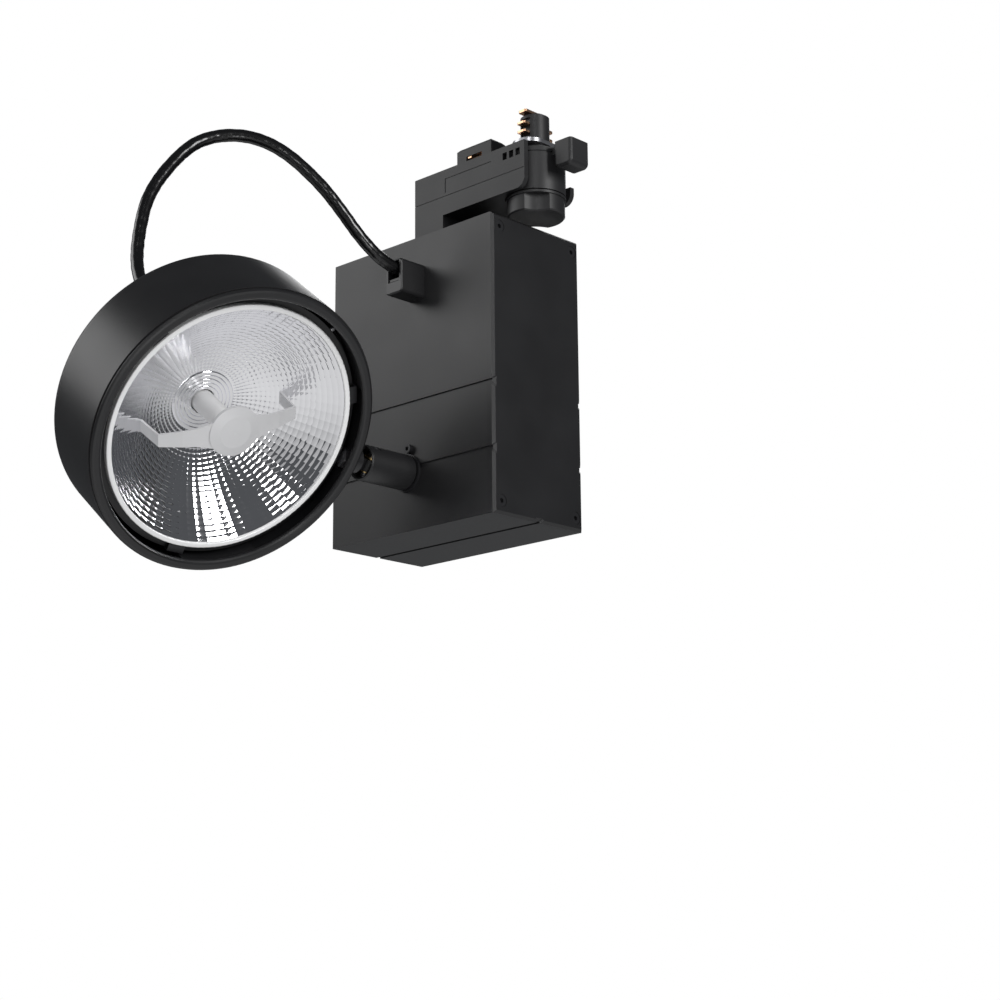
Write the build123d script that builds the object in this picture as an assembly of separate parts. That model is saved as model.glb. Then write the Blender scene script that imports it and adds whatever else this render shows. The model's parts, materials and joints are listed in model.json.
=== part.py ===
from build123d import *
import math
import os

# Track spotlight: a gear box hangs under a three-circuit track adaptor, and a round lamp head
# stands on a short swivel arm at the side of the box. Millimetres, +Z up, X along the track.
# The origin is the middle of the adaptor's shoulder, where it meets the underside of the track.

# ---- driving dimensions ------------------------------------------------------------------
BOX_LENGTH = 104.0
BOX_WIDTH = 57.0
BOX_HEIGHT = 136.5
BOX_TOP = -35.0
BOX_WALL = 2.2
CAP_THICKNESS = 4.0
CAP_CHAMFER = 1.2
CAP_SCREW_INSET_Y = 4.8
CAP_SCREW_INSET_Z = 5.8
FACE_GROOVES = (0.570, 0.789)  # fractions of the box height, from its top
GROOVE_WIDTH = 2.2
GROOVE_DEPTH = 0.7

ADAPTOR_WIDTH = 33.0
ADAPTOR_LEFT = -9.2
ADAPTOR_RIGHT = 60.6
ADAPTOR_DEPTH = 22.0
FOOT_LENGTH = 18.4
HUB_X = 52.2
HUB_RADIUS = 13.6
BAY_RADIUS = 14.0
SELECTOR_HEIGHT = 8.9
LEVER_REACH = 27.0
TOWER_X = 7.0
TOWER_LENGTH = 22.0
TOWER_TOP = 14.0
COVER_SCREWS = [(x, y) for x in (-4.0, 30.4) for y in (-9.4, 9.4)]

ARM_X = -1.7
ARM_Z = -144.7
ARM_RADIUS = 8.05
ARM_BORE = 6.2
ARM_LENGTH = 28.0
SPINDLE_RADIUS = 5.0
KNUCKLE_OUT = 23.0  # knuckle pin, measured out from the box face
PIN_RADIUS = 2.0
STOP_PIN_OFFSET = (1.6, 10.8)  # from the arm's axis, along X and Z

BEAM_DOWN = 37.8  # stored tilt of the beam below the horizontal
HEAD_LEAN = 3.9  # stored angle of the knuckle
HEAD_REACH = 75.5  # knuckle pin to lamp axis
DRUM_RADIUS = 64.5
DRUM_WALL = 2.0
DRUM_BACK = -34.1  # along the beam, from the knuckle pin's plane
DRUM_FRONT = 5.6
DRUM_BACK_ROUND = 5.0
REAR_RADIUS = 31.0
REAR_END = -67.5
RING_FRONT = 7.9
RIM_FRONT = 2.9
LAMP_RADIUS = 55.5
NECK_RADIUS = 14.0
REFLECTOR_DEPTH = 28.0
MOUTH_RADIUS = 53.2
CORD_DIAMETER = 5.8
SELECTOR_REST = 45.0
STOP_OPEN = (35.8, 142.6)  # free sector of the stop washer, in the arm frame
GROMMET = (-36.0, 33.0)  # on the drum's back plate, head frame
REAR_SCREWS = (30, 150, 270)
HOOKS = (60, 180, 300)
HOOK_SLOT = -5.0
GLARE_ARMS = (25, 207)

# Routes: each point is where two straight runs would meet.
GROMMET_IN = (-11.9, -160.6, -95.0)
SPLIT = (-33.9, -142.5, -25.0)
BOX_SIDE_ROUTE = [(3.9, -32.5, -54.6), (4.1, -46.6, -52.8), (3.0, -60.6, -44.7), (-0.1, -72.9, -30.4)]
BOX_SIDE_ROUTE += [(-3.8, -81.3, -20.4), (-11.2, -94.5, -7.7), (-18.9, -107.3, -2.1), (-26.6, -121.2, -3.6)]
BOX_SIDE_ROUTE += [(-32.1, -133.7, -11.8), SPLIT]
HEAD_SIDE_ROUTE = [SPLIT, (-35.34, -149.54, -35.56), (-34.2, -154.9, -55.4), (-31.4, -157.8, -72.5)]
HEAD_SIDE_ROUTE += [(-22.62, -159.68, -86.68), GROMMET_IN]
# Lamp wires, as (distance from the lamp axis, height) on the side towards the grommet.
LAMP_WIRE_ROUTE = [(13.4, -57.0), (17.6, -57.0), (21.5, -50.0), (23.0, -41.0), (24.2, -33.5), (27.5, -27.0)]
LAMP_WIRE_ROUTE += [(36.0, -23.5), (44.0, -23.0), (48.84, -26.5), (48.84, -30.95)]
LAMP_WIRE_SPREAD = 1.3

# ---- placing -----------------------------------------------------------------------------
BOX_FACE = -BOX_WIDTH / 2
BOX_BOTTOM = BOX_TOP - BOX_HEIGHT
BOX_MIDDLE = (BOX_TOP + BOX_BOTTOM) / 2
beam = math.radians(BEAM_DOWN)
lean = math.radians(HEAD_LEAN)
level_beam = Vector(math.cos(beam), 0, -math.sin(beam))
outward = Vector(0, -1, 0)
beam_axis = level_beam * math.cos(lean) + outward * math.sin(lean)
head_side = outward * math.cos(lean) - level_beam * math.sin(lean)
knuckle = Vector(ARM_X, BOX_FACE - KNUCKLE_OUT, ARM_Z)
lamp_centre = knuckle + head_side * HEAD_REACH

# Head frame: x towards the arm, y up across the beam, z along the beam.
HEAD = Plane(origin=lamp_centre, x_dir=-head_side, z_dir=beam_axis).location
# Arm frame: x along the track, y up, z out of the box face.
ARM = Plane(origin=(ARM_X, BOX_FACE, ARM_Z), x_dir=(1, 0, 0), z_dir=(0, -1, 0)).location
# Knuckle frame: x across the pin along the beam, y along the pin, z out of the arm.
KNUCKLE = Plane(origin=knuckle, x_dir=level_beam, z_dir=outward).location
TONGUE = Plane(origin=knuckle, x_dir=beam_axis, z_dir=head_side).location

nodes = {}


# ---- shape helpers -----------------------------------------------------------------------
def rod(radius, low, high, x=0.0, y=0.0):
    """Cylinder along z between two heights."""
    return Pos(x, y, (low + high) / 2) * Cylinder(radius, high - low)


def tube(outer, inner, low, high, x=0.0, y=0.0):
    """Hollow cylinder along z between two heights."""
    return rod(outer, low, high, x, y) - rod(inner, low - 1, high + 1, x, y)


def block(x0, x1, y0, y1, z0, z1):
    """Box between two corners."""
    middle = Pos((x0 + x1) / 2, (y0 + y1) / 2, (z0 + z1) / 2)
    return middle * Box(x1 - x0, y1 - y0, z1 - z0)


def hexagon(across_flats, low, high, x=0.0, y=0.0):
    """Hexagonal prism along z."""
    outline = RegularPolygon(across_flats / 2, 6, major_radius=False)
    return Pos(x, y, low) * extrude(outline, high - low)


def turned(points):
    """Body of revolution about z from an outline of (radius, height) points."""
    outline = make_face(Plane.XZ * Polyline(*points, close=True))
    return revolve(outline, Axis.Z)


def around(shape, angles):
    """Copies of a shape turned about z."""
    return [Rot(0, 0, a) * shape for a in angles]


def wire(points, radii, radius):
    """Round wire along straight runs joined by tangent arcs."""
    path = FilletPolyline(*points, radius=radii)
    section = Plane(origin=path @ 0, z_dir=path % 0) * Circle(radius)
    return sweep(section, path=path)


def arc_radii(points):
    """Largest tangent arcs that the runs on either side of each corner leave room for."""
    radii = []
    for before, corner, after in zip(points, points[1:], points[2:]):
        arriving = Vector(corner) - Vector(before)
        leaving = Vector(after) - Vector(corner)
        half_turn = math.radians(arriving.get_angle(leaving)) / 2
        radii.append(0.45 * min(arriving.length, leaving.length) / math.tan(half_turn))
    return radii


# ---- gear box ----------------------------------------------------------------------------
def box_outline():
    """Outer section of the box in the YZ plane, with its shallow grooves."""
    section = Rectangle(BOX_WIDTH, BOX_HEIGHT)
    for fraction in FACE_GROOVES:
        height = BOX_HEIGHT / 2 - fraction * BOX_HEIGHT
        for side in (-1, 1):
            section -= Pos(side * BOX_WIDTH / 2, height) * Rectangle(2 * GROOVE_DEPTH, GROOVE_WIDTH)
    return section - Pos(0, -BOX_HEIGHT / 2) * Rectangle(GROOVE_WIDTH, 2 * GROOVE_DEPTH)


def screw_places():
    """Corner screw positions in the YZ section."""
    across = BOX_WIDTH / 2 - CAP_SCREW_INSET_Y
    upright = BOX_HEIGHT / 2 - CAP_SCREW_INSET_Z
    return [(y, z) for y in (-across, across) for z in (-upright, upright)]


def box_section(x, outline, length):
    """Extrudes a YZ outline along +X from a given x, centred on the box."""
    plane = Plane(origin=(x, 0, BOX_MIDDLE), x_dir=(0, 1, 0), z_dir=(1, 0, 0))
    return extrude(plane * outline, length)


def gear_box():
    half = BOX_LENGTH / 2
    body_length = BOX_LENGTH - 2 * CAP_THICKNESS
    outline = box_outline()
    section = outline - Rectangle(BOX_WIDTH - 2 * BOX_WALL, BOX_HEIGHT - 2 * BOX_WALL)
    for y, z in screw_places():
        section += Pos(y, z) * Rectangle(7.0, 8.0) & outline
    for y, z in screw_places():
        section -= Pos(y, z) * Circle(1.55)
    profile = box_section(-half + CAP_THICKNESS, section, body_length)
    profile -= ARM * rod(6.5, -6, 3)
    profile -= ARM * rod(1.55, -6, 3, *STOP_PIN_OFFSET)
    profile -= gland_frame() * rod(5.0, -6, 3)
    profile -= rod(5.0, BOX_TOP - 5, BOX_TOP + 3)
    nodes["gearbox_profile"] = profile

    for name, side in (("end_cap_left", -1), ("end_cap_right", 1)):
        start = side * half - (CAP_THICKNESS if side > 0 else 0)
        cap = box_section(start, outline, CAP_THICKNESS)
        outer_face = cap.faces().filter_by(Axis.X).sort_by(Axis.X)[-1 if side > 0 else 0]
        cap = chamfer(outer_face.edges(), CAP_CHAMFER)
        for y, z in screw_places():
            place = Plane(origin=(side * half, y, BOX_MIDDLE + z), z_dir=(side, 0, 0)).location
            cap -= place * (rod(1.75, -6, 1) + rod(2.85, -2.4, 1))
        nodes[name] = cap

    screws = []
    for side in (-1, 1):
        for y, z in screw_places():
            place = Plane(origin=(side * half, y, BOX_MIDDLE + z), z_dir=(side, 0, 0)).location
            screw = rod(2.75, -2.4, -0.2) + rod(1.5, -14, -2.4) - hexagon(2.0, -1.6, 0)
            screws.append(place * screw)
    nodes["end_cap_screws"] = Compound(children=screws)


def box_contents():
    """Electronic transformer, terminal block and wiring inside the box."""
    inner_back = BOX_WIDTH / 2 - BOX_WALL
    rail = block(-40, 40, inner_back - 1.5, inner_back, -150, -60)
    case = block(-32, 34, inner_back - 31.5, inner_back - 1.5, -143, -83)
    nodes["transformer_bracket"] = rail - Pos(-36, inner_back, -105) * Box(3, 8, 20)
    nodes["transformer_case"] = fillet(case.edges().filter_by(Axis.Z), 2.5)
    lid = block(-31, 33, inner_back - 33.2, inner_back - 31.5, -142, -84)
    nodes["transformer_lid"] = chamfer(lid.faces().sort_by(Axis.Y)[0].edges(), 0.6)
    screws = []
    for x in (-36.5, 36.5):
        for z in (-140, -88):
            place = Plane(origin=(x, inner_back - 1.5, z), z_dir=(0, -1, 0)).location
            screws.append(place * (rod(2.4, 0, 1.6) - block(-2, 2, -0.3, 0.3, 0.9, 2)))
    nodes["transformer_screws"] = Compound(children=screws)

    block_low = inner_back - 14
    terminal = block(-38, -8, block_low, inner_back - 1.5, -78, -64)
    terminal_screws = []
    for index in range(5):
        x = -35 + index * 6
        mouth = Plane(origin=(x, block_low + 5, -64), z_dir=(0, 0, 1)).location
        head = Plane(origin=(x, block_low, -70), z_dir=(0, -1, 0)).location
        terminal -= mouth * rod(1.7, -8, 1)
        terminal -= head * rod(2.0, -3, 1)
        slot = block(-2, 2, -0.25, 0.25, -0.9, 1)
        terminal_screws.append(head * (rod(1.9, -2.9, -0.4) - slot))
    nodes["terminal_block"] = terminal
    nodes["terminal_screws"] = Compound(children=terminal_screws)

    wires = []
    for index in range(3):
        x = -35 + index * 6
        y = block_low + 5
        spread = (index - 1) * 2.2
        route = [(x, y, -66), (x, y, -58), (x + 6, y - 4, -52), (spread, 1.5, -46), (spread, 0, -40)]
        wires.append(wire(route, [0.8 * r for r in arc_radii(route)], 0.9))
    nodes["supply_wires"] = Compound(children=wires)


def gland_frame():
    """Frame of the cord gland on the box face, z out of the face."""
    return Plane(origin=(3.9, BOX_FACE, -57.0), x_dir=(1, 0, 0), z_dir=(0, -1, 0)).location


def gland():
    """Square strain relief: a body on the face, a clamp shoe over the cord and its screws."""
    frame = gland_frame()
    body = block(-5.2, 5.2, -8.0, 8.0, 0, 14.0)
    body = fillet(body.edges().filter_by(Axis.Z), 1.6)
    body = chamfer(body.faces().sort_by(Axis.Z)[-1].edges(), 0.6)
    body -= block(-3.6, 3.6, -2.6, 7.3, 4.0, 15.0)
    body -= rod(3.3, -1, 5, 0, 2.6)
    nodes["cord_gland_body"] = frame * body
    shoe = block(-3.4, 3.4, -2.5, -0.6, 4.2, 13.4)
    nodes["cord_gland_clamp"] = frame * chamfer(shoe.edges().filter_by(Axis.X), 0.4)
    nodes["cord_gland_nipple"] = frame * tube(4.9, 3.3, -7, 0)
    nut = hexagon(13, -BOX_WALL - 3.0, -BOX_WALL) - rod(4.95, -8, 1)
    nodes["cord_gland_nut"] = frame * nut


# ---- track adaptor -----------------------------------------------------------------------
def adaptor():
    """Housing with a foot on the box, a bay for the turning hub, and the fixed earth tower."""
    half = ADAPTOR_WIDTH / 2
    body = block(ADAPTOR_LEFT, ADAPTOR_RIGHT, -half, half, -ADAPTOR_DEPTH, 0)
    body += block(ADAPTOR_LEFT, ADAPTOR_LEFT + FOOT_LENGTH, -half, half, BOX_TOP, -ADAPTOR_DEPTH)
    low_end = body.edges().filter_by(Axis.Y).group_by(Axis.X)[-1].sort_by(Axis.Z)[0]
    body = fillet(low_end, 5.0)
    body -= rod(BAY_RADIUS, -40, 1, HUB_X)
    body -= block(HUB_X, 70, -BAY_RADIUS, BAY_RADIUS, -40, 1)
    body -= block(-7.6, 34, -13, 13, -19, 1)
    for x, y in COVER_SCREWS:
        body += rod(2.8, -19, -2, x, y) - rod(1.3, -12, 0, x, y)
    body -= rod(5.0, -40, -15)
    body -= block(HUB_X - 8, 70, 10, half + 1, -5.8, 1)
    body -= block(HUB_X + 2.5, 70, 10, half + 1, -14.2, 1)
    for index in range(3):
        middle = HUB_X - 3.6 + index * 4.0
        body -= block(middle - 1.3, middle + 1.3, -half - 1, -10, -6.4, -3.0)
    body -= block(10.5, 40, -half - 1, -half + 0.25, -11.5, -4.5)
    body -= block(-20, 70, -half - 1, -half + 0.25, -13.2, -12.9)
    nodes["adaptor_body"] = body

    plate = block(-7.5, 33.9, -12.9, 12.9, -2.0, 0)
    plate -= block(TOWER_X - 0.1, TOWER_X + TOWER_LENGTH + 0.1, -4.9, 4.9, -3, 1)
    screws = []
    for x, y in COVER_SCREWS:
        plate -= rod(1.4, -3, 1, x, y) + rod(2.4, -1.2, 1, x, y)
        screws.append(rod(1.25, -10, -1.2, x, y) + rod(2.3, -1.2, -0.1, x, y) - hexagon(1.6, -0.8, 0, x, y))
    nodes["adaptor_cover"] = plate
    nodes["adaptor_screws"] = Compound(children=screws)

    middle = TOWER_X + TOWER_LENGTH / 2
    tower = block(TOWER_X, TOWER_X + TOWER_LENGTH, -4.8, 4.8, -6, TOWER_TOP)
    tower = chamfer(tower.faces().sort_by(Axis.Z)[-1].edges(), 1.2)
    tower -= block(middle - 5, middle + 5, -6, 6, 4.0, 9.0)
    nodes["earth_tower"] = tower
    blade = block(middle - 4, middle + 4, 2.0, 2.6, 4.0, 8.8)
    blade += block(middle - 1, middle + 1, 2.6, 7.6, 6.2, 6.9)
    nodes["earth_contacts"] = Compound(children=[blade, mirror(blade, Plane.XZ)])

    nodes["adaptor_nipple"] = tube(4.9, 3.4, BOX_TOP - BOX_WALL - 5, -16)
    lower = hexagon(13, BOX_TOP - BOX_WALL - 3, BOX_TOP - BOX_WALL) - rod(4.95, -60, 0)
    upper = hexagon(13, -19, -16.4) - rod(4.95, -60, 0)
    nodes["adaptor_nipple_nuts"] = Compound(children=[lower, upper])


def locking_lever():
    """Turning hub with its grip, contact tower, locking cam and side contacts."""
    hub = rod(HUB_RADIUS, -ADAPTOR_DEPTH + 0.4, -1.4, HUB_X)
    hub -= tube(HUB_RADIUS + 1, HUB_RADIUS - 0.5, -4.2, -3.4, HUB_X)
    hub += block(HUB_X + 10, HUB_X + LEVER_REACH - 6, -3.0, 3.0, -5.2, -1.6)
    inner = HUB_X + LEVER_REACH - 10.2
    grip = block(inner, HUB_X + LEVER_REACH, -6.2, 6.2, -13.4, -1.0)
    grip = fillet(grip.edges().filter_by(Axis.Y).group_by(Axis.Z)[0], 2.6)
    hub += fillet(grip.edges().filter_by(Axis.Z), 1.5)
    nodes["locking_lever"] = hub - rod(5.05, -40, 5, HUB_X)

    tower = tube(6.6, 5.05, -1.4, 17.0, HUB_X)
    tower -= block(HUB_X - 2.6, HUB_X + 2.6, -8, -5.4, 6.8, 15.6)
    tower -= block(HUB_X - 2.6, HUB_X + 2.6, 5.4, 8, 6.8, 15.6)
    nodes["contact_tower"] = tower
    cam = Pos(HUB_X, 0, 2.4) * extrude(SlotOverall(23.0, 15.4, rotation=90), 1.8)
    nodes["locking_cam"] = cam - rod(6.65, 0, 8, HUB_X)
    for name, height in (("neutral_contacts", 8.0), ("side_contacts", 12.2)):
        blades = []
        for side in (-1, 1):
            near, far = sorted((side * 5.6, side * 9.6))
            blade = block(HUB_X - 2.4, HUB_X + 2.4, near, far, height, height + 1.0)
            blades.append(fillet(blade.edges().filter_by(Axis.Z), 0.8))
        nodes[name] = Compound(children=blades)


def phase_selector():
    """Turning knob with finger scoops, its spindle and the contact it carries."""
    top = -ADAPTOR_DEPTH - 0.2
    low = top - SELECTOR_HEIGHT
    knob = rod(HUB_RADIUS + 0.1, top - 1.1, top, HUB_X)
    grip = rod(HUB_RADIUS - 0.5, low, top - 1.1, HUB_X)
    for side in (-1, 1):
        grip -= Pos(HUB_X, 0, 0) * Rot(0, 0, SELECTOR_REST) * rod(12.0, low - 1, top - 1.1, 0, side * 22.4)
    knob += chamfer(grip.faces().sort_by(Axis.Z)[0].edges(), 0.6)
    nodes["phase_selector"] = knob - rod(5.0, top - 5, top + 1, HUB_X)
    nodes["selector_spindle"] = rod(5.0, top - 5, 18.0, HUB_X) - rod(2.2, top - 6, 19, HUB_X)
    blade = block(HUB_X - 2.4, HUB_X + 2.4, -8.6, 5.4, 18.0, 19.2)
    nodes["phase_contact"] = fillet(blade.edges().filter_by(Axis.Z), 1.0)


# ---- arm and knuckle ---------------------------------------------------------------------
def sector_ring(inner, outer, start, end, low, high):
    """Part of a hollow cylinder between two angles in degrees."""
    steps = 6
    points = [(0, 0)]
    for index in range(steps + 1):
        angle = math.radians(start + (end - start) * index / steps)
        points.append((2 * outer * math.cos(angle), 2 * outer * math.sin(angle)))
    wedge = Pos(0, 0, low) * extrude(make_face(Polyline(*points, close=True)), high - low)
    return tube(outer, inner, low, high) & wedge


def arm():
    nodes["arm_bushing"] = ARM * (tube(8.6, 5.05, 0, 1.2) + tube(6.45, 5.05, -5.0, 0))
    body = rod(ARM_RADIUS, 1.5, ARM_LENGTH)
    body = chamfer(body.edges().filter_by(GeomType.CIRCLE), 0.6)
    body -= rod(ARM_BORE, 14, ARM_LENGTH + 1)
    body -= turned([(0, 26.6), (ARM_BORE, 26.6), (7.3, ARM_LENGTH + 0.2), (0, ARM_LENGTH + 0.2)])
    body -= rod(SPINDLE_RADIUS, 1, 9)
    nodes["arm_tube"] = ARM * body - KNUCKLE * Rot(90, 0, 0) * Cylinder(PIN_RADIUS, 30)
    spindle = rod(SPINDLE_RADIUS, -16.0, 9.0)
    nodes["swivel_spindle"] = ARM * chamfer(spindle.edges().filter_by(GeomType.CIRCLE), 0.5)

    stop = sector_ring(8.9, 13.0, STOP_OPEN[1], STOP_OPEN[0] + 360, -6.6, -5.4)
    nodes["stop_washer"] = ARM * (tube(9.0, 5.0, -6.6, -5.4) + stop)
    nodes["spring_washer"] = ARM * tube(8.2, 5.1, -8.2, -6.6)
    nodes["swivel_nut"] = ARM * (hexagon(16, -13.4, -8.2) - rod(5.0, -20, 0))
    pin = tube(1.5, 0.8, -8, 0) + tube(2.1, 0.95, 0, 1.8)
    nodes["stop_pin"] = ARM * Pos(*STOP_PIN_OFFSET, 0) * pin

    nodes["knuckle_pin"] = KNUCKLE * Rot(90, 0, 0) * Cylinder(PIN_RADIUS, 15.2)
    washer = Rot(90, 0, 0) * (Cylinder(3.6, 0.6) - Cylinder(PIN_RADIUS + 0.05, 2))
    washers = [Pos(0, side * 3.3, 0) * washer for side in (-1, 1)]
    nodes["knuckle_washers"] = KNUCKLE * Compound(children=washers)


def tongue():
    """Eye bar from the knuckle pin to the drum's side, with its stud and nut."""
    reach = HEAD_REACH - DRUM_RADIUS
    bar = Rot(90, 0, 0) * Cylinder(4.6, 5.2)
    bar += block(-2.7, 2.7, -2.6, 2.6, 0, reach - 2)
    bar += rod(5.6, reach - 3.4, reach + 1.5)
    bar -= Rot(90, 0, 0) * Cylinder(PIN_RADIUS + 0.05, 10)
    bar = TONGUE * bar - HEAD * rod(DRUM_RADIUS, -60, 60)
    nodes["knuckle_tongue"] = bar + TONGUE * rod(2.5, reach - 1, HEAD_REACH - 58.6)
    nut = hexagon(8.0, HEAD_REACH - 62.2, HEAD_REACH - 59.0) - rod(2.5, 0, 30)
    nodes["tongue_nut"] = TONGUE * nut


# ---- lamp head ---------------------------------------------------------------------------
def drum():
    inner = DRUM_RADIUS - DRUM_WALL
    shell = rod(DRUM_RADIUS, DRUM_BACK, DRUM_FRONT)
    shell = fillet(shell.edges().filter_by(GeomType.CIRCLE).sort_by(Axis.Z)[0], DRUM_BACK_ROUND)
    space = rod(inner, DRUM_BACK + DRUM_WALL, DRUM_FRONT + 1)
    shell -= fillet(space.edges().filter_by(GeomType.CIRCLE).sort_by(Axis.Z)[0], 3.0)
    shell -= rod(27.0, DRUM_BACK - 1, DRUM_BACK + 5)
    shell -= rod(5.0, DRUM_BACK - 1, DRUM_BACK + 5, *GROMMET)
    shell -= Rot(0, 90, 0) * rod(2.55, inner - 5, DRUM_RADIUS + 5)
    for hole in around(rod(1.3, DRUM_BACK - 1, DRUM_BACK + 5, 34.0), REAR_SCREWS):
        shell -= hole
    nodes["drum_housing"] = HEAD * shell

    back = DRUM_BACK - 2
    outline = [(29.2, DRUM_BACK), (37.0, DRUM_BACK), (37.0, back), (REAR_RADIUS, back)]
    outline += [(REAR_RADIUS, REAR_END + 3), (REAR_RADIUS - 3, REAR_END), (0, REAR_END)]
    outline += [(0, REAR_END + 1.8), (28.0, REAR_END + 1.8), (29.2, REAR_END + 3)]
    cap = turned(outline)
    slot = block(REAR_RADIUS - 4, REAR_RADIUS + 2, -2, 2, REAR_END + 8, DRUM_BACK - 8)
    for cut in around(slot, range(15, 375, 30)):
        cap -= cut
    for hole in around(rod(1.6, DRUM_BACK - 3, DRUM_BACK + 1, 34.0), REAR_SCREWS):
        cap -= hole
    nodes["rear_cap"] = HEAD * cap
    screw = rod(1.25, back, DRUM_BACK + 4, 34.0) + rod(2.5, back - 1.6, back, 34.0)
    screw -= hexagon(2.0, back - 2, back - 0.8, 34.0)
    nodes["rear_cap_screws"] = HEAD * Compound(children=around(screw, REAR_SCREWS))

    bore = CORD_DIAMETER / 2 + 0.05
    outline = [(bore, -3.4), (6.0, -3.4), (6.6, -2.0), (6.6, 0), (4.9, 0), (4.9, 2.0), (5.6, 2.6)]
    outline += [(5.2, 4.4), (bore, 4.4)]
    nodes["cord_grommet"] = HEAD * Pos(*GROMMET, DRUM_BACK) * turned(outline)

    studs = around(Rot(0, 90, 0) * rod(1.5, 58.9, inner - 0.05), HOOKS)
    nodes["bayonet_studs"] = HEAD * Pos(0, 0, HOOK_SLOT) * Compound(children=studs)


def lamp_support():
    """Cradle for the lamp's rim, its side springs, and the lamp holder in the rear cap."""
    floor = DRUM_BACK + DRUM_WALL
    seat = RIM_FRONT - 2.6
    cradle = tube(58.2, 57.0, floor, seat) + tube(58.2, 54.2, seat - 1.2, seat)
    for slot in around(block(50, 60, -9, 9, floor + 6, seat - 8), range(0, 360, 45)):
        cradle -= slot
    nodes["lamp_cradle"] = HEAD * cradle
    spring = block(58.3, 58.9, -4, 4, -7, seat + 2) + block(55.7, 58.9, -4, 4, seat + 1.4, seat + 2)
    nodes["lamp_springs"] = HEAD * Compound(children=around(spring, (30, 150, 270)))

    holder = rod(13.0, -62.8, -53.0)
    strap = block(-27.6, 27.6, -5, 5, -64.0, -62.8)
    for side in (-1, 1):
        near, far = sorted((side * 5.4, side * 7.4))
        holder -= block(near, far, -4, 4, -62, -52)
        near, far = sorted((side * 26.4, side * 27.6))
        strap += block(near, far, -5, 5, -64.0, DRUM_BACK)
    nodes["lamp_holder"] = HEAD * holder
    nodes["holder_strap"] = HEAD * strap
    towards = Vector(GROMMET[0], GROMMET[1], 0).normalized()
    across = Vector(-towards.Y, towards.X, 0)
    pair = []
    for side in (-1, 1):
        shift = across * side * LAMP_WIRE_SPREAD
        route = [towards * r + shift + Vector(0, 0, z) for r, z in LAMP_WIRE_ROUTE]
        pair.append(wire(route, [0.6 * r for r in arc_radii(route)], 1.1))
    nodes["lamp_wires"] = HEAD * Compound(children=pair)


def bowl(offset):
    """Parabola from the lamp's neck to its mouth as (radius, height) points."""
    steps = 12
    points = []
    for index in range(steps + 1):
        radius = NECK_RADIUS + (MOUTH_RADIUS - NECK_RADIUS) * index / steps
        rise = (radius**2 - NECK_RADIUS**2) / (MOUTH_RADIUS**2 - NECK_RADIUS**2)
        points.append((radius, RIM_FRONT - REFLECTOR_DEPTH + (REFLECTOR_DEPTH - 1.2) * rise + offset))
    return points


def lamp():
    """Reflector lamp: rim, reflector, ceramic neck, blades, capsule and glare cap."""
    rim = tube(LAMP_RADIUS, MOUTH_RADIUS, RIM_FRONT - 2.6, RIM_FRONT)
    nodes["lamp_rim"] = HEAD * fillet(rim.faces().sort_by(Axis.Z)[-1].edges(), 0.5)
    inside, outside = bowl(0), bowl(-1.0)
    edges = [Spline(*inside), Spline(*outside), Line(inside[0], outside[0]), Line(inside[-1], outside[-1])]
    nodes["lamp_reflector"] = HEAD * revolve(Plane.XZ * make_face(edges), Axis.Z)
    top = RIM_FRONT - REFLECTOR_DEPTH - 1.0
    neck = turned([(7, top), (NECK_RADIUS, top), (NECK_RADIUS, top - 8), (11, top - 12), (11, -51), (0, -51)]
                  + [(0, -40), (7, -40)])
    nodes["lamp_neck"] = HEAD * neck
    blades = [block(side * 6.4 - 0.4, side * 6.4 + 0.4, -3.1, 3.1, -60, -51) for side in (-1, 1)]
    nodes["lamp_blades"] = HEAD * Compound(children=blades)
    capsule = rod(5.0, -26, -8) + Pos(0, 0, -8) * Sphere(5.0) + block(-4.6, 4.6, -1.6, 1.6, -40.0, -26)
    nodes["lamp_capsule"] = HEAD * capsule

    shield = turned([(0, 6.8), (7, 6.4), (11.2, 5.2), (11.2, 3.6), (10.4, 3.6), (10.4, 4.6), (6.8, 5.6), (0, 6.0)])
    strap = [(9.0, 5.2), (22.0, 2.4), (31.4, -0.8), (32.6, -16.1), (31.6, -16.75), (30.6, -1.8), (21.8, 1.4)]
    side = Plane.XZ * make_face(Polyline(*strap, (9.0, 4.2), close=True))
    edge = [(8, 6.2), (17, 4.0), (33, 2.6)]
    edge += [(x, -y) for x, y in reversed(edge)]
    plan = Pos(0, 0, -20) * extrude(make_face(Polyline(*edge, close=True)), 40)
    leaf = extrude(side, 10, both=True) & plan
    for turned_leaf in around(leaf, GLARE_ARMS):
        shield += turned_leaf
    nodes["glare_cap"] = HEAD * shield


def front_ring():
    """Bezel that turns into the drum on three bayonet hooks."""
    skirt = 61.9
    outline = [(59.9, 4.9), (skirt, 4.9), (skirt, 5.9), (64.0, 5.9), (64.0, 6.7)]
    outline += [(63.5, 7.6), (62.7, RING_FRONT), (60.9, RING_FRONT), (60.1, 7.6), (59.6, 6.9), (59.6, 5.6)]
    ring = turned(outline)
    for centre in HOOKS:
        hook = sector_ring(60.0, skirt, centre - 27, centre + 6, -9, 5.0)
        hook -= sector_ring(58, 63, centre - 22.5, centre + 2.2, HOOK_SLOT - 1.7, HOOK_SLOT + 1.7)
        hook -= sector_ring(58, 63, centre - 22.5, centre - 17.5, -10, HOOK_SLOT)
        ring += hook
    nodes["front_ring"] = HEAD * ring


# ---- cord --------------------------------------------------------------------------------
def cord():
    """Lead from the gland to the drum's back, in two lengths that meet at the split point."""
    for name, route in (("cord_box_side", BOX_SIDE_ROUTE), ("cord_head_side", HEAD_SIDE_ROUTE)):
        radii = arc_radii(route)
        print(name, "arc radii", [round(r, 1) for r in radii])
        nodes[name] = wire(route, radii, CORD_DIAMETER / 2)


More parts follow.
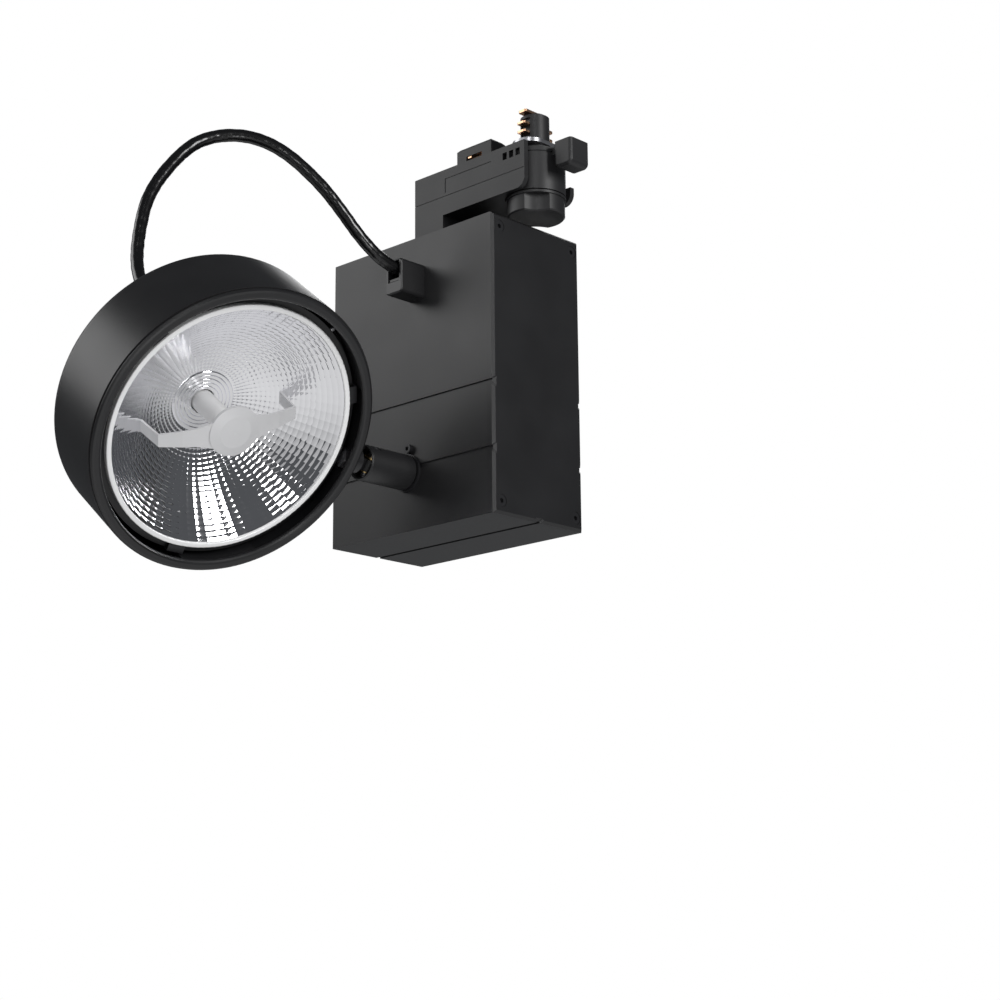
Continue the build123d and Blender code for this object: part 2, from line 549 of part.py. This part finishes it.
gear_box()
box_contents()
gland()
adaptor()
locking_lever()
phase_selector()
arm()
tongue()
drum()
lamp_support()
lamp()
front_ring()
cord()
os.makedirs("parts", exist_ok=True)
for name, shape in nodes.items():
    export_step(shape, f"parts/{name}.step")
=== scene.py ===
import json
import math
import bpy
from mathutils import Matrix, Vector


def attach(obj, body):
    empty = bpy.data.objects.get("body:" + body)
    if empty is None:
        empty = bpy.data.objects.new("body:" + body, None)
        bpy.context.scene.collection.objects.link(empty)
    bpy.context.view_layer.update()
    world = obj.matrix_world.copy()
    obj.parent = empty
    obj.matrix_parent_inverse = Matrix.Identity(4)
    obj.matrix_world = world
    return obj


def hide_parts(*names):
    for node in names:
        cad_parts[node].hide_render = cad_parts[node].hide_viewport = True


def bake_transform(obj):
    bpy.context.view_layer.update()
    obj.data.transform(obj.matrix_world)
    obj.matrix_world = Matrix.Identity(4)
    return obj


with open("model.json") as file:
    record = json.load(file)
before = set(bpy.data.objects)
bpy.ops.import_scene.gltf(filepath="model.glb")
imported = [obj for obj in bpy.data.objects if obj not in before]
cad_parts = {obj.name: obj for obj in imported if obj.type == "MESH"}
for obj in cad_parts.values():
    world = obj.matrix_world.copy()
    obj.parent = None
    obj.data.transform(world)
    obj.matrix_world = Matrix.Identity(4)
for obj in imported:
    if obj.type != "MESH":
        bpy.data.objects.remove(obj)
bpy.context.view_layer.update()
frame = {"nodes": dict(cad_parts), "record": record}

nodes = frame["nodes"]
MM = 0.001

# ---- the lamp head's own frame: x towards the arm, y up across the beam, z along the beam ----
BEAM_DOWN = math.radians(37.8)
HEAD_LEAN = math.radians(3.9)
KNUCKLE = (-1.7, -51.5, -144.7)
KNUCKLE_TO_BEAM = 75.5
level = Vector((math.cos(BEAM_DOWN), 0, -math.sin(BEAM_DOWN)))
out = Vector((0, -1, 0))
beam = level * math.cos(HEAD_LEAN) + out * math.sin(HEAD_LEAN)
side = out * math.cos(HEAD_LEAN) - level * math.sin(HEAD_LEAN)
centre = Vector(KNUCKLE) * MM + side * KNUCKLE_TO_BEAM * MM
HEAD = Matrix((-side, beam.cross(-side), beam)).transposed().to_4x4()
HEAD.translation = centre


def add_mesh(name, points, faces):
    mesh = bpy.data.meshes.new(name)
    mesh.from_pydata(points, [], faces)
    mesh.update()
    obj = bpy.data.objects.new(name, mesh)
    bpy.context.scene.collection.objects.link(obj)
    return obj


# ---- materials -----------------------------------------------------------------------------
MOTTLE_SCALE, MOTTLE_DETAIL = 45.0, 5.0
GRAIN_DETAIL, GRAIN_HEIGHT = 3.0, 0.00006
POLISH_LOW, POLISH_HIGH = 0.88, 1.12


def material(name, colour, rough, metal=0.0, grain=900.0, bump=0.15, vary=0.12,
             stretch=(1, 1, 1), coat=0.0):
    """Procedural surface: fine grain in the bump, slow mottling in the colour and roughness."""
    m = bpy.data.materials.new(name)
    m.use_nodes = True
    tree = m.node_tree
    n, link = tree.nodes, tree.links.new
    shader = n["Principled BSDF"]
    shader.inputs["Metallic"].default_value = metal
    shader.inputs["Coat Weight"].default_value = coat
    where = n.new("ShaderNodeTexCoord")
    place = n.new("ShaderNodeMapping")
    place.inputs["Scale"].default_value = stretch
    link(where.outputs["Object"], place.inputs["Vector"])
    slow = n.new("ShaderNodeTexNoise")
    slow.inputs["Scale"].default_value = MOTTLE_SCALE
    slow.inputs["Detail"].default_value = MOTTLE_DETAIL
    fine = n.new("ShaderNodeTexNoise")
    fine.inputs["Scale"].default_value = grain
    fine.inputs["Detail"].default_value = GRAIN_DETAIL
    for texture in (slow, fine):
        link(place.outputs["Vector"], texture.inputs["Vector"])
    tint = n.new("ShaderNodeValToRGB")
    for stop, gain, at in ((0, 1 - vary, 0.3), (1, 1 + vary, 0.7)):
        tint.color_ramp.elements[stop].position = at
        tint.color_ramp.elements[stop].color = [min(1, c * gain) for c in colour] + [1]
    link(slow.outputs["Fac"], tint.inputs["Fac"])
    link(tint.outputs["Color"], shader.inputs["Base Color"])
    polish = n.new("ShaderNodeMapRange")
    polish.inputs["To Min"].default_value = rough * POLISH_LOW
    polish.inputs["To Max"].default_value = min(1.0, rough * POLISH_HIGH)
    link(slow.outputs["Fac"], polish.inputs["Value"])
    link(polish.outputs["Result"], shader.inputs["Roughness"])
    relief = n.new("ShaderNodeBump")
    relief.inputs["Strength"].default_value = bump
    relief.inputs["Distance"].default_value = GRAIN_HEIGHT
    link(fine.outputs["Fac"], relief.inputs["Height"])
    link(relief.outputs["Normal"], shader.inputs["Normal"])
    return m


finishes = {
    "black_anodised": material("anodised", (0.016, 0.016, 0.017), 0.4, grain=1400, bump=0.12),
    "black_paint": material("powder_coat", (0.012, 0.012, 0.013), 0.38, grain=2200, bump=0.22),
    "black_plastic": material("moulded_plastic", (0.014, 0.014, 0.015), 0.46,
                              grain=1800, bump=0.25),
    "gland_plastic": material("nylon", (0.016, 0.016, 0.017), 0.34, grain=1200, bump=0.12),
    "black_steel": material("black_oxide", (0.025, 0.025, 0.027), 0.33, metal=0.3, grain=1500),
    "steel": material("zinc", (0.5, 0.5, 0.52), 0.3, metal=1.0, grain=1200, stretch=(1, 1, 6)),
    "brass": material("brass_plain", (0.72, 0.52, 0.24), 0.28, metal=1.0),
    "copper_contact": material("contact_copper", (0.75, 0.45, 0.28), 0.25, metal=1.0),
    "lamp_reflector": material("coated_mirror", (0.9, 0.9, 0.92), 0.06,
                               metal=1.0, bump=0.03, vary=0.03),
    "lamp_rim": material("white_lacquer", (0.93, 0.93, 0.93), 0.25, bump=0.05, vary=0.03, coat=0.3),
    "glare_cap": material("matt_aluminium", (0.7, 0.7, 0.71), 0.42,
                          metal=0.25, bump=0.1, vary=0.04),
    "ceramic": material("bare_ceramic", (0.82, 0.8, 0.75), 0.7, bump=0.3),
    "cord_sleeve": material("sleeve", (0.004, 0.004, 0.0045), 0.24, grain=600, bump=0.5, coat=0.15),
    "wire": material("wire_jacket", (0.3, 0.18, 0.1), 0.4),
    "transformer": material("case_grey", (0.6, 0.6, 0.6), 0.5),
}
quartz = material("quartz", (0.95, 0.95, 0.95), 0.3, bump=0.02, vary=0.02)
quartz.node_tree.nodes["Principled BSDF"].inputs["Transmission Weight"].default_value = 0.3
finishes["quartz"] = quartz

for part in frame["record"]["subparts"]:
    shown = nodes[part["node"]]
    shown.data.materials.clear()
    shown.data.materials.append(finishes[part["material_slot"]])


def smooth_by_angle(obj, degrees):
    """Smooth shading with edges sharper than the angle kept crisp."""
    mesh = obj.data
    mesh.shade_smooth()
    mesh.set_sharp_from_angle(angle=math.radians(degrees))


# ---- reflector: stepped rings cut into radial facets ------------------------------------------
def make_reflector():
    neck, mouth, depth, front, thick = 14.0, 53.1, 28.0, 2.9, 0.9
    rings, sectors, fine = 22, 72, 2
    steps, turns = rings * fine, sectors * fine
    lip = 1.2
    swell, ring_share, sector_share = 0.34, 0.6, 0.4

    def height(radius):
        share = (radius**2 - neck**2) / (mouth**2 - neck**2)
        return front - depth + (depth - lip) * share

    points = []
    for i in range(steps + 1):
        radius = neck + (mouth - neck) * i / steps
        for k in range(turns):
            angle = 2 * math.pi * k / turns
            crown = (i % fine) * ring_share + (k % fine) * sector_share
            lift = swell * crown if 0 < i < steps else 0.0
            points.append((radius * math.cos(angle), radius * math.sin(angle),
                           height(radius) + lift))
    inner_count = len(points)
    outer_rows = (0, steps // 2, steps)
    for i in outer_rows:
        radius = neck + (mouth - neck) * i / steps
        for k in range(turns):
            angle = 2 * math.pi * k / turns
            points.append((radius * math.cos(angle), radius * math.sin(angle),
                           height(radius) - thick))
    faces = []
    for i in range(steps):
        for k in range(turns):
            a, b = i * turns + k, i * turns + (k + 1) % turns
            faces.append((a, a + turns, b + turns, b))
    for i in range(len(outer_rows) - 1):
        row = inner_count + i * turns
        for k in range(turns):
            a, b = row + k, row + (k + 1) % turns
            faces.append((a, b, b + turns, a + turns))
    last_inner = steps * turns
    last_outer = inner_count + (len(outer_rows) - 1) * turns
    for k in range(turns):
        j = (k + 1) % turns
        faces.append((k, j, inner_count + j, inner_count + k))
        faces.append((last_inner + j, last_inner + k, last_outer + k, last_outer + j))
    obj = add_mesh("faceted_reflector", [HEAD @ (Vector(p) * MM) for p in points], faces)
    mesh = obj.data
    mesh.materials.append(finishes["lamp_reflector"])
    mesh.shade_smooth()
    sharp = mesh.attributes.new("sharp_edge", "BOOLEAN", "EDGE")
    for edge in mesh.edges:
        a, b = edge.vertices
        if a < inner_count and b < inner_count:
            same_ring = a // turns == b // turns
            line = (a // turns) if same_ring else (a % turns)
            sharp.data[edge.index].value = line % fine == 0
    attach(obj, "head")
    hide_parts("lamp_reflector")


make_reflector()


def make_neck_rings():
    """Bright stepped collar between the capsule and the bowl."""
    turns = 96
    rim, bore = 14.0, 5.5
    ridges, first_ridge, pitch, ridge_width = 5, 13.6, 1.65, 1.2
    crest, shoulder, groove, back, fall = -24.75, -24.9, -25.35, -26.0, 0.05
    profile = [(rim, -25.2)]
    for step in range(ridges):
        outer = first_ridge - step * pitch
        profile.append((outer, crest - fall * step))
        profile.append((outer - ridge_width, shoulder - fall * step))
        profile.append((outer - ridge_width - 0.1, groove))
    profile += [(bore, -25.4), (bore, back), (rim, back)]
    points = []
    for radius, height in profile:
        for k in range(turns):
            angle = 2 * math.pi * k / turns
            place = Vector((radius * math.cos(angle), radius * math.sin(angle), height))
            points.append(HEAD @ (place * MM))
    faces = []
    for i in range(len(profile)):
        following = (i + 1) % len(profile)
        for k in range(turns):
            j = (k + 1) % turns
            faces.append((i * turns + k, i * turns + j,
                          following * turns + j, following * turns + k))
    obj = add_mesh("neck_rings", points, faces)
    obj.data.materials.append(finishes["lamp_reflector"])
    smooth_by_angle(obj, 25)
    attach(obj, "head")


make_neck_rings()


WORN_EDGES = {"gearbox_profile": 0.35, "end_cap_left": 0.3, "end_cap_right": 0.3,
              "adaptor_body": 0.3, "cord_gland_body": 0.4, "locking_lever": 0.4}


def soften(node, width):
    """Small worn radius on a moulded or extruded edge, so that it catches the light."""
    worn = nodes[node].modifiers.new("worn_edges", "BEVEL")
    worn.width = width * MM
    worn.segments = 2
    worn.limit_method = "ANGLE"
    worn.angle_limit = math.radians(40)
    worn.harden_normals = True


for node, width in WORN_EDGES.items():
    soften(node, width)

# ---- cord: control points in mm, from the gland to the split and on to the grommet ------------
SPLIT = (-33.9, -142.5, -25.0)
BOX_SIDE = [(3.9, -32.5, -54.6), (4.1, -46.6, -52.8), (3.0, -60.6, -44.7), (-0.1, -72.9, -30.4)]
BOX_SIDE += [(-3.8, -81.3, -20.4), (-11.2, -94.5, -7.7), (-18.9, -107.3, -2.1), (-26.6, -121.2, -3.6)]
BOX_SIDE += [(-32.1, -133.7, -11.8), SPLIT]
HEAD_SIDE = [SPLIT, (-35.34, -149.54, -35.56), (-34.2, -154.9, -55.4), (-31.4, -157.8, -72.5)]
HEAD_SIDE += [(-22.62, -159.68, -86.68), (-11.9, -160.6, -95.0)]
CORD_RADIUS = 2.9 * MM
CORD_SIDES = 28
PLAIN_ROWS = 2
FOLD_DEPTH, MINOR_FOLD = 0.022, 0.6


def sleeve_wrinkle(along, around):
    """Shallow folds of a loose sleeve, as a share of the radius; none at the ends."""
    folds = math.sin(along * 900 + 1.7 * math.sin(2 * around + along * 140))
    folds += MINOR_FOLD * math.sin(along * 1630 + 2.3 * math.sin(around - along * 210))
    return -FOLD_DEPTH * (1 + folds / (1 + MINOR_FOLD))


def make_cord(name, route):
    curve = bpy.data.curves.new(name, "CURVE")
    curve.dimensions = "3D"
    spline = curve.splines.new("NURBS")
    spline.points.add(len(route) - 1)
    for point, place in zip(spline.points, route):
        point.co = [c * MM for c in place] + [1]
    spline.order_u = 3
    spline.use_endpoint_u = True
    curve.resolution_u = 24
    holder = bpy.data.objects.new(name + "_line", curve)
    bpy.context.scene.collection.objects.link(holder)
    bpy.context.view_layer.update()
    centre_line = bpy.data.meshes.new_from_object(holder)
    path = [v.co.copy() for v in centre_line.vertices]
    bpy.data.objects.remove(holder)

    sides = CORD_SIDES
    points, faces = [], []
    travelled = 0.0
    across = None
    for i, place in enumerate(path):
        ahead = (path[min(i + 1, len(path) - 1)] - path[max(i - 1, 0)]).normalized()
        if across is None:
            across = ahead.orthogonal().normalized()
        across = (across - ahead * across.dot(ahead)).normalized()
        up = ahead.cross(across)
        if i:
            travelled += (place - path[i - 1]).length
        for k in range(sides):
            angle = 2 * math.pi * k / sides
            radius = CORD_RADIUS
            if PLAIN_ROWS < i < len(path) - 1 - PLAIN_ROWS:
                radius *= 1 + sleeve_wrinkle(travelled, angle)
            spoke = across * math.cos(angle) + up * math.sin(angle)
            points.append(place + spoke * radius)
    for i in range(len(path) - 1):
        for k in range(sides):
            a, b = i * sides + k, i * sides + (k + 1) % sides
            faces.append((a, b, b + sides, a + sides))
    faces.append(tuple(reversed(range(sides))))
    faces.append(tuple(range((len(path) - 1) * sides, len(path) * sides)))
    obj = add_mesh(name, points, faces)
    obj.data.materials.append(finishes["cord_sleeve"])
    smooth_by_angle(obj, 60)
    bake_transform(obj)
    return obj


box_cord = make_cord("sleeved_cord_box_side", BOX_SIDE)
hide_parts("cord_box_side")
head_cord = make_cord("sleeved_cord_head_side", HEAD_SIDE)
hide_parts("cord_head_side")

# ---- studio --------------------------------------------------------------------------------------
FLOOR_HEIGHT, FLOOR_REACH, FLOOR_GLOW = -1.3, 2.2, 0.3
AMBIENT = 0.09
corners = ((-1, -1), (1, -1), (1, 1), (-1, 1))
floor = add_mesh("floor", [(x * FLOOR_REACH, y * FLOOR_REACH, FLOOR_HEIGHT) for x, y in corners],
                 [(0, 1, 2, 3)])
pale = material("pale_floor", (0.82, 0.82, 0.82), 0.8, grain=80, bump=0.02, vary=0.01)
glow = pale.node_tree.nodes["Principled BSDF"]
glow.inputs["Emission Color"].default_value = (1, 1, 1, 1)
glow.inputs["Emission Strength"].default_value = FLOOR_GLOW
floor.data.materials.append(pale)

# the world is white where the camera sees it and dim where it lights the object
world = bpy.data.worlds.new("studio")
bpy.context.scene.world = world
world.use_nodes = True
backdrop = world.node_tree.nodes["Background"]
backdrop.inputs["Color"].default_value = (1, 1, 1, 1)
backdrop.inputs["Strength"].default_value = 1.0
dim = world.node_tree.nodes.new("ShaderNodeBackground")
dim.inputs["Color"].default_value = (0.9, 0.94, 1.0, 1)
dim.inputs["Strength"].default_value = AMBIENT
seen = world.node_tree.nodes.new("ShaderNodeLightPath")
either = world.node_tree.nodes.new("ShaderNodeMixShader")
join = world.node_tree.links.new
join(seen.outputs["Is Camera Ray"], either.inputs["Fac"])
join(dim.outputs["Background"], either.inputs[1])
join(backdrop.outputs["Background"], either.inputs[2])
join(either.outputs["Shader"], world.node_tree.nodes["World Output"].inputs["Surface"])
bpy.context.scene.view_settings.view_transform = "Standard"


def softbox(name, place, target, width, height, power):
    lamp = bpy.data.lights.new(name, "AREA")
    lamp.shape = "RECTANGLE"
    lamp.size, lamp.size_y = width, height
    lamp.energy = power
    obj = bpy.data.objects.new(name, lamp)
    obj.location = place
    obj.rotation_euler = (Vector(target) - Vector(place)).to_track_quat("-Z", "Y").to_euler()
    bpy.context.scene.collection.objects.link(obj)


MIDDLE = (0.0, -0.06, -0.1)
SOFTBOXES = (
    # name, place, width, height, watts
    ("key", (-1.1, -0.9, 0.6), 1.1, 0.7, 6),
    ("face", (-0.1, -1.5, 0.3), 1.2, 0.9, 3),
    ("strip", (0.9, -1.0, 0.25), 0.2, 1.2, 4),
    ("behind", (-0.9, 1.2, 0.5), 0.9, 0.9, 7),
    ("lamp_side", (1.15, -0.45, -0.8), 0.2, 0.5, 1.6),
    ("lamp_top", (1.1, 0.0, 0.15), 0.35, 0.45, 7),
)
for name, place, width, height, power in SOFTBOXES:
    softbox(name, place, MIDDLE, width, height, power)

# ---- camera --------------------------------------------------------------------------------------
LENS_MM, SENSOR_MM = 76.7, 36.0
CAMERA_PLACE = (0.6624, -0.6653, -0.3817)
RIGHT = (0.7223, 0.6915, -0.0085)
UP = (0.17, -0.1656, 0.9714)
BACK = (0.6703, -0.7032, -0.2372)
camera_data = bpy.data.cameras.new("camera")
camera_data.lens = LENS_MM
camera_data.sensor_width = SENSOR_MM
camera = bpy.data.objects.new("camera", camera_data)
turn = Matrix((RIGHT, UP, BACK)).transposed().to_4x4()
turn.translation = CAMERA_PLACE
camera.matrix_world = turn
bpy.context.scene.collection.objects.link(camera)
bpy.context.scene.camera = camera
